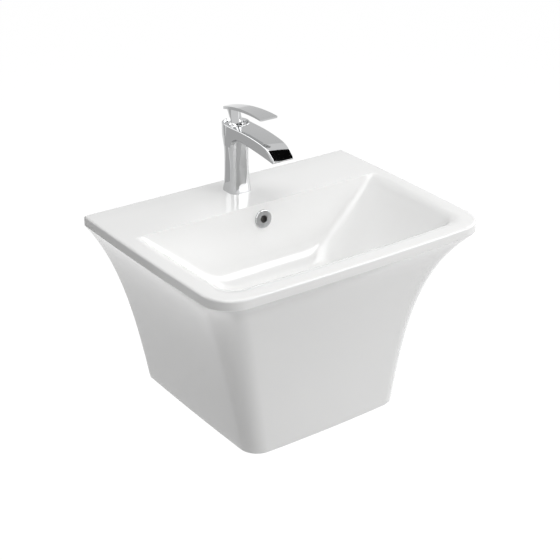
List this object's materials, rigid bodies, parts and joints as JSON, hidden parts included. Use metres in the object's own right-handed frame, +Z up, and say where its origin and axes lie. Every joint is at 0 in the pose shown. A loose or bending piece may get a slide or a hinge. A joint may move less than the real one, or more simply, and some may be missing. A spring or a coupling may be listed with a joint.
{
  "type": "wall-hung basin with tap",
  "caption": "Wall-hung ceramic washbasin with a flared shroud, a sloping bowl, an overflow, a single-lever mixer tap on the rear deck and a push-open waste.",
  "frame": {"origin": "on the wall face, midway between the two holes for the wall bolts", "axes": "+X to the right along the wall as seen from the room, +Y into the wall, +Z up"},
  "size_m": [0.52, 0.3919, 0.4881],
  "materials": {
    "ceramic": "glazed white",
    "chrome": "polished",
    "steel": "satin",
    "brass": "as turned",
    "rubber": "matt",
    "silicone": "translucent white",
    "technical_ceramic": "lapped",
    "grey_plastic": "moulded",
    "white_plastic": "moulded",
    "index": "moulded"
  },
  "bodies": {
    "fixture": {"basin": "ceramic", "overflow_ring": "chrome", "tap_body": "chrome", "tap_base_seal": "rubber", "hot_bush": "brass", "cold_bush": "brass", "fixing_stud": "steel", "clamp_rubber": "rubber", "clamp_plate": "steel", "fixing_nut": "brass", "cartridge_base": "white_plastic", "port_seal": "silicone", "fixed_disc": "technical_ceramic", "cartridge_housing": "white_plastic", "cartridge_nut": "chrome", "aerator_housing": "chrome", "aerator_insert": "grey_plastic", "aerator_seal": "rubber", "waste_body": "chrome", "waste_top_seal": "silicone", "waste_lower_seal": "rubber", "waste_washer": "grey_plastic", "waste_nut": "chrome", "click_housing": "brass", "click_spring": "steel"},
    "swivel": {"rotor": "white_plastic", "pivot_pin": "steel", "dome": "chrome"},
    "lever": {"spindle": "brass", "handle": "chrome", "handle_screw": "steel", "index_plug": "index"},
    "disc": {"moving_disc": "technical_ceramic", "disc_carrier": "white_plastic"},
    "plug": {"click_stem": "steel", "plug_cap": "chrome", "plug_gasket": "rubber"}
  },
  "joints": [
    {"name": "handle_swing", "type": "hinge", "parent": "fixture", "child": "swivel", "pos_m": [0, -0.05, 0.196], "axis": [0, 0, 1], "range_deg": [-45, 45]},
    {"name": "handle_lift", "type": "hinge", "parent": "swivel", "child": "lever", "pos_m": [0, -0.05, 0.196], "axis": [-1, 0, 0], "range_deg": [0, 25]},
    {"name": "disc_slide", "type": "slide", "parent": "swivel", "child": "disc", "axis": [0, -1, 0], "range_m": [0, 0.00285]},
    {"name": "plug_slide", "type": "slide", "parent": "fixture", "child": "plug", "axis": [0, 0, 1], "range_m": [0, 0.008], "deforming": ["click_spring"]}
  ],
  "couplings": [
    {"joint": "disc_slide", "follows": "handle_lift", "m_per_rad": 0.006449}
  ]
}
